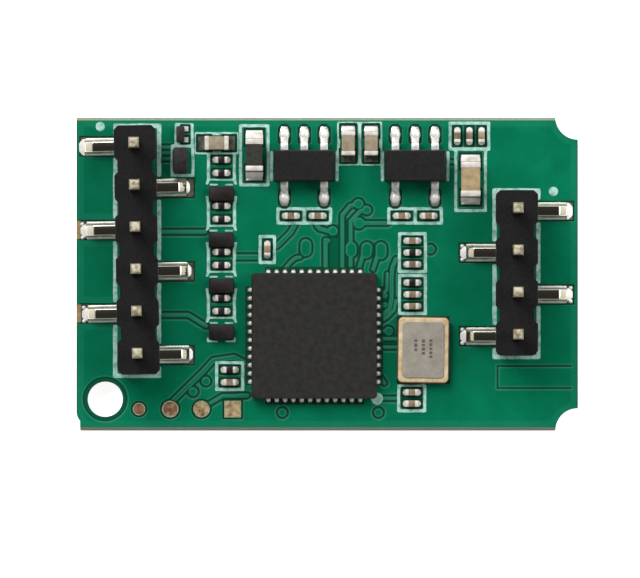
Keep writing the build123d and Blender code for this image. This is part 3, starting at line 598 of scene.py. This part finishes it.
cut_end.inputs["Scale"].default_value = 1 / (0.22 * MM)
cut_tones = tree.nodes.new("ShaderNodeValToRGB")
cut_tones.color_ramp.elements[0].position = 0.38
cut_tones.color_ramp.elements[0].color = tint(142, 130, 102)
cut_tones.color_ramp.elements[1].position = 0.58
cut_tones.color_ramp.elements[1].color = tint(214, 206, 184)
tree.links.new(place.outputs["Object"], cut_end.inputs["Vector"])
tree.links.new(cut_end.outputs["Fac"], cut_tones.inputs["Fac"])
flat_share = tree.nodes.new("ShaderNodeMapRange")
flat_share.inputs["From Min"].default_value = (pin_top - 0.07) * MM
flat_share.inputs["From Max"].default_value = (pin_top - 0.005) * MM
tree.links.new(height.outputs["Z"], flat_share.inputs["Value"])
olive = tree.nodes.new("ShaderNodeRGB")
olive.outputs[0].default_value = tint(104, 92, 56)
tone = blend_tones(tree, flat_share.outputs["Result"], olive.outputs[0], cut_tones.outputs["Color"])
# Within 1 mm of the laminate the tin takes a paler tint: a painted highlight on the feet and toes.
foot = tree.nodes.new("ShaderNodeMath")
foot.operation = "LESS_THAN"
foot.inputs[1].default_value = (laminate_top + 1.0) * MM
tree.links.new(height.outputs["Z"], foot.inputs[0])
foot_highlight_tint = tree.nodes.new("ShaderNodeRGB")
foot_highlight_tint.outputs[0].default_value = tint(240, 230, 210)
shaft = blend_tones(tree, foot.outputs[0], tree.nodes["Tones"].outputs["Color"], foot_highlight_tint.outputs[0])
tone = blend_tones(tree, sheared.outputs[0], shaft, tone)
tree.links.new(tone, shader.inputs["Base Color"])
shine = tree.nodes.new("ShaderNodeMapRange")
shine.inputs["To Min"].default_value = 0.1
shine.inputs["To Max"].default_value = 0.5
tree.links.new(sheared.outputs[0], shine.inputs["Value"])
tree.links.new(shine.outputs["Result"], shader.inputs["Roughness"])
for header in ("header_6", "header_4"):
    softened(f"{header}_housing", f"{header}_moulded_strip", 0.03, 2, housing_plastic)
    for node in numbered(f"{header}_pin"):
        softened(node, f"{node}_tinned", 0.085, 3, tinned_pin)


# Radar chip
# A flat moulded package with copper terminals along the lower edge of each side. Its face is matt
# and finely mottled, with a dull sheen at the edges, and it carries no marking.

chip_resin = finish("radar_chip_resin", (26, 25, 22), (42, 41, 36), 0.3, 0.65, bump=0.12, gloss=0.3)
softened("radar_chip_body", "radar_chip_moulding", 0.025, 2, chip_resin)
terminal_metal = finish("terminal_tin", (190, 186, 178), (226, 224, 218), 0.12, 0.3, metallic=1.0)
for node in ("radar_chip_terminals", "radar_chip_heat_pad", "level_shifter_terminals"):
    dress(nodes[node], terminal_metal)


# Regulators
# Two five-lead packages: a moulded body with drafted sides, and leads of tinned copper that leave it
# half way up, drop to the board and lie flat on their lands.

regulator_resin = finish("regulator_resin", (16, 16, 17), (28, 28, 29), 0.14, 0.55, bump=0.1, gloss=0.25)
lead_tin = finish("regulator_lead_tin", (222, 220, 214), (244, 242, 238), 0.3, 0.42, metallic=0.6, bump=0.04)
for number in (1, 2):
    softened(f"regulator_{number}_body", f"regulator_{number}_moulding", 0.035, 3, regulator_resin)
    softened(f"regulator_{number}_leads", f"regulator_{number}_bent_leads", 0.03, 2, lead_tin)


# Crystal
# A ceramic base, a gold-plated seal ring brazed on it and a thin nickel-grey lid welded to the ring.
# Rows of short plain dashes stand where such lids are marked.

ceramic = finish("crystal_ceramic", (70, 60, 50), (96, 84, 70), 0.3, 0.7, bump=0.3)
gilt = finish("gilt_seal_ring", (224, 194, 146), (248, 232, 196), 0.35, 0.42, metallic=0.3, bump=0.05)
lid_metal = finish("crystal_lid_metal", (160, 153, 141), (176, 169, 157), 0.5, 0.5, metallic=0.35, bump=0.06)
tree = gilt.node_tree
# The ring's side and sloped faces are mixed to a dark brown, and only its flat top keeps the gilt tones: painted shade.
tilt = tree.nodes.new("ShaderNodeSeparateXYZ")
tree.links.new(tree.nodes.new("ShaderNodeNewGeometry").outputs["Normal"], tilt.inputs[0])
level_share = tree.nodes.new("ShaderNodeMapRange")
level_share.inputs["From Min"].default_value = 0.6
level_share.inputs["From Max"].default_value = 0.98
tree.links.new(tilt.outputs["Z"], level_share.inputs["Value"])
ring_side_shade = tree.nodes.new("ShaderNodeRGB")
ring_side_shade.outputs[0].default_value = tint(166, 112, 58)
tone = blend_tones(tree, level_share.outputs["Result"], ring_side_shade.outputs[0], tree.nodes["Tones"].outputs["Color"])
tree.links.new(tone, tree.nodes["Principled BSDF"].inputs["Base Color"])
softened("crystal_base", "crystal_ceramic_base", 0.03, 2, ceramic)
softened("crystal_seal_ring", "crystal_gilt_ring", 0.07, 3, gilt)
softened("crystal_lid", "crystal_welded_lid", 0.03, 2, lid_metal)

lid_low, lid_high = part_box("crystal_lid")
lid_middle = (lid_low + lid_high) / (2 * MM)
dash_points, dash_faces = [], []
for column, lengths in ((-0.36, (0.13, 0.17, 0.14)), (0.0, (0.15, 0.12, 0.15, 0.13)), (0.36, (0.12, 0.15, 0.12, 0.14, 0.12))):
    start = lid_middle.y + 0.5
    for length in lengths:
        first = len(dash_points)
        for x, y in ((0, 0), (0, -length), (0.15, -length), (0.15, 0)):
            dash_points.append((lid_middle.x + column - 0.075 + x, start + y))
        dash_faces += [(first, first + 1, first + 2), (first, first + 2, first + 3)]
        start -= length + 0.06
lid_top = lid_high.z / MM
dash_tops = np.full(len(dash_points), lid_top + 0.002)
dashes = slab("crystal_lid_dashes", np.array(dash_points), np.array(dash_faces), lid_top - 0.004, dash_tops)
dress(dashes, finish("dark_lid_print", (78, 74, 68), (112, 106, 98), 0.08, 0.6))
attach(dashes, "root")


# Chip components
# Small ceramic blocks with metal ends: tan capacitors, glazed black resistors, a dark ferrite bead,
# and near the left header an inductor and a diode with dark moulded bodies.

tan = finish("tan_capacitor_ceramic", (146, 132, 110), (172, 156, 130), 0.25, 0.6, bump=0.2)
pale_tan = finish("pale_capacitor_ceramic", (162, 140, 102), (190, 168, 128), 0.3, 0.6, bump=0.2)
brown = finish("brown_capacitor_ceramic", (112, 94, 80), (174, 148, 114), 0.45, 0.6, bump=0.1)
glaze = finish("black_resistor_glaze", (26, 20, 22), (44, 34, 36), 0.12, 0.3)
ferrite = finish("ferrite_ceramic", (40, 40, 36), (58, 57, 51), 0.2, 0.6, bump=0.2, gloss=0.3)
dark_moulding = finish("dark_moulding", (30, 28, 28), (50, 47, 46), 0.25, 0.5, bump=0.2, gloss=0.3)
shifter_moulding = finish("level_shifter_moulding", (22, 12, 14), (36, 25, 26), 0.25, 0.5, bump=0.15, gloss=0.3)
end_tin = finish("component_end_tin", (212, 207, 196), (242, 238, 229), 0.3, 0.45, metallic=0.25, bump=0.1)
bodies = {
    "input_capacitor": (tan, "tan_ceramic"),
    "output_capacitor_1": (tan, "tan_ceramic"),
    "output_capacitor_2": (tan, "tan_ceramic"),
    "bulk_capacitor": (pale_tan, "tan_ceramic"),
    "regulator_capacitors": (brown, "tan_ceramic"),
    "radar_capacitors": (brown, "tan_ceramic"),
    "crystal_capacitors": (brown, "tan_ceramic"),
    "pull_up_resistors": (glaze, "resistor_glaze"),
    "radar_resistors": (glaze, "resistor_glaze"),
    "ferrite_bead": (ferrite, "dark_ceramic"),
}
for node, (material, slot) in bodies.items():
    softened(node, f"{node}_ceramic", 0.015, 2, material)
    softened(f"{node}_ends", f"{node}_metal_ends", 0.022, 2, end_tin)
for node in ("supply_inductor", "supply_diode"):
    softened(node, f"{node}_moulding", 0.04, 2, dark_moulding)
    dress(nodes[f"{node}_ends"], end_tin)
for node in numbered("level_shifter_"):
    if node != "level_shifter_terminals":
        softened(node, f"{node}_moulding", 0.03, 2, shifter_moulding)


# Solder
# Bright solder on every land: a hollow fillet climbs each metal end, lead and pin foot from the rim
# of its land, narrower at the rim than at the metal.


def step(tree, operation, first, second=None):
    """The result of one sum in a node tree; what goes in is a socket or a number."""
    sum_node = tree.nodes.new("ShaderNodeMath")
    sum_node.operation = operation
    for socket, value in zip(sum_node.inputs, (first, second)):
        if isinstance(value, bpy.types.NodeSocket):
            tree.links.new(value, socket)
        elif value is not None:
            socket.default_value = value
    return sum_node.outputs[0]


def named_value(tree, kind, name):
    """A named attribute of the points that a tree works on."""
    reader = tree.nodes.new("GeometryNodeInputNamedAttribute")
    reader.data_type = kind
    reader.inputs["Name"].default_value = name
    return reader.outputs["Attribute"]


def spread(tree, given, shape):
    """Puts a shape on each point by the point's turn and size, as real mesh with its solder."""
    turned = tree.nodes.new("ShaderNodeCombineXYZ")
    tree.links.new(named_value(tree, "FLOAT", "turn"), turned.inputs["Z"])
    copies = tree.nodes.new("GeometryNodeInstanceOnPoints")
    tree.links.new(given.outputs["Geometry"], copies.inputs["Points"])
    tree.links.new(shape, copies.inputs["Instance"])
    tree.links.new(turned.outputs[0], copies.inputs["Rotation"])
    tree.links.new(named_value(tree, "FLOAT_VECTOR", "size"), copies.inputs["Scale"])
    real = tree.nodes.new("GeometryNodeRealizeInstances")
    coat = tree.nodes.new("GeometryNodeSetMaterial")
    tree.links.new(copies.outputs[0], real.inputs[0])
    tree.links.new(real.outputs[0], coat.inputs["Geometry"])
    tree.links.new(given.outputs["Solder"], coat.inputs["Material"])
    tree.links.new(coat.outputs[0], tree.nodes.new("NodeGroupOutput").inputs[0])
    return tree


def fillet_tree():
    """Geometry nodes that put a hollow fillet of solder on each point, by its turn and its size."""
    tree = bpy.data.node_groups.new("solder_fillets", "GeometryNodeTree")
    tree.interface.new_socket("Geometry", in_out="INPUT", socket_type="NodeSocketGeometry")
    for name, value in (("Hollow", 1.8), ("Crown", 0.5), ("Taper", 0.5), ("Rim", 0.06)):
        tree.interface.new_socket(name, in_out="INPUT", socket_type="NodeSocketFloat").default_value = value
    tree.interface.new_socket("Solder", in_out="INPUT", socket_type="NodeSocketMaterial")
    tree.interface.new_socket("Geometry", in_out="OUTPUT", socket_type="NodeSocketGeometry")
    given = tree.nodes.new("NodeGroupInput")
    block = tree.nodes.new("GeometryNodeMeshCube")
    block.inputs["Size"].default_value = (1, 1, 1)
    block.inputs["Vertices X"].default_value = 7
    block.inputs["Vertices Y"].default_value = 7
    position = tree.nodes.new("GeometryNodeInputPosition")
    axes = tree.nodes.new("ShaderNodeSeparateXYZ")
    tree.links.new(position.outputs[0], axes.inputs[0])
    outward = step(tree, "ADD", axes.outputs["X"], 0.5)
    aside = step(tree, "MULTIPLY", axes.outputs["Y"], 2.0)
    climb = step(tree, "POWER", step(tree, "SUBTRACT", 1.0, outward), given.outputs["Hollow"])
    bulge = step(tree, "MULTIPLY", step(tree, "POWER", step(tree, "ABSOLUTE", aside), 2.0), given.outputs["Crown"])
    rise = step(tree, "MULTIPLY", climb, step(tree, "SUBTRACT", 1.0, bulge))
    rise = step(tree, "ADD", step(tree, "MULTIPLY", rise, step(tree, "SUBTRACT", 1.0, given.outputs["Rim"])), given.outputs["Rim"])
    upper = step(tree, "GREATER_THAN", axes.outputs["Z"], 0.0)
    narrow = step(tree, "SUBTRACT", 1.0, step(tree, "MULTIPLY", given.outputs["Taper"], step(tree, "POWER", outward, 2.0)))
    place = tree.nodes.new("ShaderNodeCombineXYZ")
    tree.links.new(outward, place.inputs["X"])
    tree.links.new(step(tree, "MULTIPLY", axes.outputs["Y"], narrow), place.inputs["Y"])
    tree.links.new(step(tree, "MULTIPLY", upper, rise), place.inputs["Z"])
    shape = tree.nodes.new("GeometryNodeSetPosition")
    tree.links.new(block.outputs["Mesh"], shape.inputs["Geometry"])
    tree.links.new(place.outputs[0], shape.inputs["Position"])
    return spread(tree, given, shape.outputs["Geometry"])


def bead_tree():
    """Geometry nodes that put a round bead of solder on each point."""
    tree = bpy.data.node_groups.new("solder_beads", "GeometryNodeTree")
    tree.interface.new_socket("Geometry", in_out="INPUT", socket_type="NodeSocketGeometry")
    tree.interface.new_socket("Solder", in_out="INPUT", socket_type="NodeSocketMaterial")
    tree.interface.new_socket("Geometry", in_out="OUTPUT", socket_type="NodeSocketGeometry")
    given = tree.nodes.new("NodeGroupInput")
    bead = tree.nodes.new("GeometryNodeMeshUVSphere")
    bead.inputs["Segments"].default_value = 16
    bead.inputs["Rings"].default_value = 10
    bead.inputs["Radius"].default_value = 0.5
    return spread(tree, given, bead.outputs["Mesh"])


def grown_piece(name, points, turns, sizes, tree, settings):
    """A plain mesh that a tree grows on points, each with a turn in radians and a size in millimetres."""
    seed_mesh = bpy.data.meshes.new(name + "_points")
    seed_mesh.from_pydata((np.array(points) * MM).tolist(), [], [])
    seed_mesh.attributes.new("turn", "FLOAT", "POINT").data.foreach_set("value", np.array(turns, np.float32))
    size_values = (np.array(sizes) * MM).astype(np.float32).ravel()
    seed_mesh.attributes.new("size", "FLOAT_VECTOR", "POINT").data.foreach_set("vector", size_values)
    seeds = bpy.data.objects.new(name + "_points", seed_mesh)
    scene.collection.objects.link(seeds)
    modifier = seeds.modifiers.new("grow", "NODES")
    modifier.node_group = tree
    for item in tree.interface.items_tree:
        if item.in_out == "INPUT" and item.name in settings:
            modifier[item.identifier] = settings[item.name]
    mesh = bpy.data.meshes.new_from_object(seeds.evaluated_get(bpy.context.evaluated_depsgraph_get()))
    bpy.data.objects.remove(seeds)
    mesh.name = name
    mesh.shade_smooth()
    mesh.set_sharp_from_angle(angle=math.radians(50))
    piece = bpy.data.objects.new(name, mesh)
    scene.collection.objects.link(piece)
    return piece


def solids_of(node):
    """The lowest and highest corner of each separate solid of a CAD node, in millimetres."""
    form = bmesh.new()
    form.from_mesh(nodes[node].data)
    bmesh.ops.remove_doubles(form, verts=form.verts, dist=0.0002 * MM)
    waiting = set(form.verts)
    boxes = []
    while waiting:
        group = [waiting.pop()]
        for vertex in group:
            for edge_of_vertex in vertex.link_edges:
                other = edge_of_vertex.other_vert(vertex)
                if other in waiting:
                    waiting.remove(other)
                    group.append(other)
        corners = np.array([v.co for v in group]) / MM
        boxes.append((corners.min(0), corners.max(0)))
    form.free()
    return boxes


def soldered(name, rows, tree, **settings):
    """Solder grown on rows of x, y, direction in quarter turns, length outwards, width and height."""
    points = [(row[0], row[1], land_top) for row in rows]
    turns = [row[2] * math.pi / 2 for row in rows]
    piece = grown_piece(name, points, turns, [row[3:] for row in rows], tree, {"Solder": solder, **settings})
    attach(piece, "root")


def around(corners, x, y):
    """The middle of a box given by two corners, shifted to the side that a direction points to."""
    low, high = corners
    return (low + high)[:2] / 2 + (high - low)[:2] / 2 * np.array((x, y))


QUARTERS = ((1, 0), (0, 1), (-1, 0), (0, -1))
land_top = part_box("tinned_lands")[1].z / MM
solder = finish("bright_solder", (214, 210, 202), (244, 241, 234), 0.3, 0.3, metallic=0.85, bump=0.03)
# The lands' tin is given a dark grey, well below bright tin: a painted dark reflection.
dress(nodes["tinned_lands"], finish("tinned_land", (66, 66, 56), (126, 122, 106), 0.25, 0.42, metallic=0.6, bump=0.2))
white_solder = finish("white_solder", (232, 230, 224), (250, 249, 246), 0.3, 0.4, metallic=0.25, bump=0.03)
fillets = fillet_tree()
beads = bead_tree()

small_rows, large_rows, lip_rows = [], [], []
end_reach = {"input_capacitor": (0.27, 0.05), "output_capacitor_1": (0.27, 0.08), "output_capacitor_2": (0.27, 0.08)}
end_reach.update({"bulk_capacitor": (0.35, 0.2), "ferrite_bead": (0.42, 0.24)})
small_parts = ("pull_up_resistors", "radar_resistors", "regulator_capacitors", "radar_capacitors", "crystal_capacitors")
for node in (*small_parts, *end_reach):
    blocks = [(low + high) / 2 for low, high in solids_of(node)]
    for corners in solids_of(f"{node}_ends"):
        centre = sum(corners) / 2
        away = centre - min(blocks, key=lambda middle: np.linalg.norm(middle - centre))
        direction = max(range(4), key=lambda turn: away[0] * QUARTERS[turn][0] + away[1] * QUARTERS[turn][1])
        x, y = around(corners, *QUARTERS[direction])
        width = (corners[1] - corners[0])[1 - direction % 2]
        if node in small_parts:
            small_rows.append((x, y, direction, 0.13, width, 0.13))
        else:
            length, height = end_reach[node]
            start = np.array((x, y)) + 0.035 * np.array(QUARTERS[direction])
            if height > 0.1 or direction == 1:
                large_rows.append((*start, direction, length - 0.035, width, height))
            if height > 0.1 and direction == 3:
                lip_rows.append((x, y - length, 1, 0.12, width * 0.92, 0.08))
soldered("small_part_solder", small_rows, fillets, Hollow=1.1, Crown=0.5, Taper=0.75, Solder=end_tin)
soldered("large_part_solder", large_rows, fillets, Hollow=1.5, Crown=0.3, Taper=0.1)
soldered("large_part_solder_lips", lip_rows, fillets, Hollow=0.8, Crown=0.1, Taper=0.0)

terminal_rows = []
chip_low, chip_high = (np.array(corner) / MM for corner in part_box("radar_chip_body"))
for corners in solids_of("radar_chip_terminals"):
    offset = (sum(corners) / 2 - (chip_low + chip_high) / 2)[:2]
    direction = max(range(4), key=lambda turn: offset[0] * QUARTERS[turn][0] + offset[1] * QUARTERS[turn][1])
    end = around(corners, *QUARTERS[direction]) + 0.05 * np.array(QUARTERS[direction])
    terminal_rows.append((*end, direction, 0.24, 0.23, 0.3))
soldered("radar_chip_solder", terminal_rows, beads, Solder=white_solder)

lead_rows, lobe_rows = [], []
for number in (1, 2):
    body_y = sum(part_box(f"regulator_{number}_body"), Vector()).y / (2 * MM)
    for corners in solids_of(f"regulator_{number}_leads"):
        direction = 1 if sum(corners)[1] / 2 > body_y else 3
        x, y = around(corners, *QUARTERS[direction])
        lead_rows.append((x, y, direction, 0.44, 0.44, 0.13))
        lobe_rows.append((x, y + 0.06 * QUARTERS[direction][1], direction, 0.6, 0.5, 0.42))
soldered("regulator_lead_solder", lead_rows, fillets, Hollow=0.9, Crown=0.6, Taper=0.35)
soldered("regulator_lead_lobes", lobe_rows, beads, Solder=white_solder)

toe_rows, side_rows, corner_rows = [], [], []
for node in numbered("header_6_pin") + numbered("header_4_pin"):
    points = np.array([v.co for v in nodes[node].data.vertices]) / MM
    axis = points[points[:, 2] > points[:, 2].max() - 0.05][:, :2].mean(0)
    low = points[points[:, 2] < land_top + 0.05][:, :2]
    far = np.linalg.norm(low - axis, axis=1)
    toe = low[far > far.max() - 0.1].mean(0)
    out = (toe - axis) / np.linalg.norm(toe - axis)
    aside = np.array((-out[1], out[0]))
    direction = math.atan2(out[1], out[0]) / (math.pi / 2)
    first_pin = node.endswith("pin_1")
    lean = node.startswith("header_6") and out[0] > 0  # these feet carry less solder
    toe_rows.append((*toe, direction, 0.16 if lean else 0.27, 0.8 if first_pin else 0.6, 0.08 if lean else 0.14))
    for side in (-1, 1):
        side_rows.append((*(axis + out * 1.68 + aside * side * 0.25), direction + side, 0.17, 1.5, 0.2))
        if not first_pin and not lean:
            corner_rows.append((*(toe + out * 0.17 + aside * side * 0.32), direction, 0.2, 0.19, 0.16))
soldered("header_toe_solder", toe_rows, fillets, Hollow=1.1, Crown=0.4, Taper=0.55, Solder=white_solder)
soldered("header_side_solder", side_rows, fillets, Hollow=1.9, Crown=0.15, Taper=0.08)
soldered("header_corner_solder", corner_rows, beads, Solder=white_solder)


# Lamps, floor and camera
# A pale floor, a large soft lamp up on the left, a weak one on the right, and a sky that is bright
# round the horizon and darker overhead. The camera stands high above the board with a long lens.


def lamp(name, place, target, size, power):
    """A soft square lamp aimed at a point."""
    light = bpy.data.lights.new(name, "AREA")
    light.size = size
    light.energy = power
    holder = bpy.data.objects.new(name, light)
    holder.location = place
    holder.rotation_euler = (Vector(target) - Vector(place)).to_track_quat("-Z", "Y").to_euler()
    scene.collection.objects.link(holder)


lamp("key_lamp", (-0.14, 0.2, 0.3), (0, 0, 0), 0.22, 0.9)
lamp("fill_lamp", (0.22, 0.06, 0.2), (0, 0, 0), 0.2, 0.3)

sky = bpy.data.worlds.new("sky")
scene.world = sky
sky.use_nodes = True
tree = sky.node_tree
place = tree.nodes.new("ShaderNodeTexCoord")
axes = tree.nodes.new("ShaderNodeSeparateXYZ")
tree.links.new(place.outputs["Generated"], axes.inputs[0])
band = tree.nodes.new("ShaderNodeValToRGB")
for stop, level in ((0.0, 1.0), (0.55, 0.8), (0.8, 0.3), (0.93, 0.04)):
    element = band.color_ramp.elements.new(stop) if stop not in (0.0,) else band.color_ramp.elements[0]
    element.position = stop
    element.color = (level, level, level, 1.0)
band.color_ramp.elements[-1].color = (0.03, 0.03, 0.03, 1.0)
tree.links.new(axes.outputs["Z"], band.inputs["Fac"])
side = tree.nodes.new("ShaderNodeMapRange")
side.inputs["From Min"].default_value = -0.8
side.inputs["From Max"].default_value = 0.6
side.inputs["To Min"].default_value = 0.4
side.inputs["To Max"].default_value = 1.15
tree.links.new(axes.outputs["Y"], side.inputs["Value"])
tree.links.new(band.outputs["Color"], tree.nodes["Background"].inputs["Color"])
tree.links.new(side.outputs["Result"], tree.nodes["Background"].inputs["Strength"])

floor_size = 3.0
floor_mesh = bpy.data.meshes.new("floor")
corners = [(x * floor_size, y * floor_size, -0.0001) for x, y in ((-1, -1), (1, -1), (1, 1), (-1, 1))]
floor_mesh.from_pydata(corners, [], [(0, 1, 2, 3)])
floor = bpy.data.objects.new("floor", floor_mesh)
scene.collection.objects.link(floor)
paper = bpy.data.materials.new("white_paper")
paper.use_nodes = True
tree = paper.node_tree
shader = tree.nodes["Principled BSDF"]
shader.inputs["Base Color"].default_value = (0.9, 0.9, 0.9, 1.0)
shader.inputs["Roughness"].default_value = 1.0
shader.inputs["Emission Color"].default_value = (1.0, 1.0, 1.0, 1.0)
path = tree.nodes.new("ShaderNodeLightPath")
seen = tree.nodes.new("ShaderNodeMath")
seen.operation = "MAXIMUM"
tree.links.new(path.outputs["Is Camera Ray"], seen.inputs[0])
tree.links.new(path.outputs["Is Glossy Ray"], seen.inputs[1])
glow = tree.nodes.new("ShaderNodeMath")
glow.operation = "MULTIPLY"
glow.inputs[1].default_value = 0.88
tree.links.new(seen.outputs[0], glow.inputs[0])
tree.links.new(glow.outputs[0], shader.inputs["Emission Strength"])
dress(floor, paper)

lens = 820.0
view_distance = 0.698
view_height = math.radians(88.8)
aim = Vector((-0.345, -0.73, 1.2)) * MM
camera_data = bpy.data.cameras.new("camera")
camera_data.lens = lens
camera_data.clip_start = 0.01
camera_data.clip_end = 20.0
camera = bpy.data.objects.new("camera", camera_data)
camera.location = aim + Vector((0, -math.cos(view_height), math.sin(view_height))) * view_distance
camera.rotation_euler = (math.pi / 2 - view_height, 0, 0)
scene.collection.objects.link(camera)
scene.camera = camera
scene.view_settings.view_transform = "Standard"
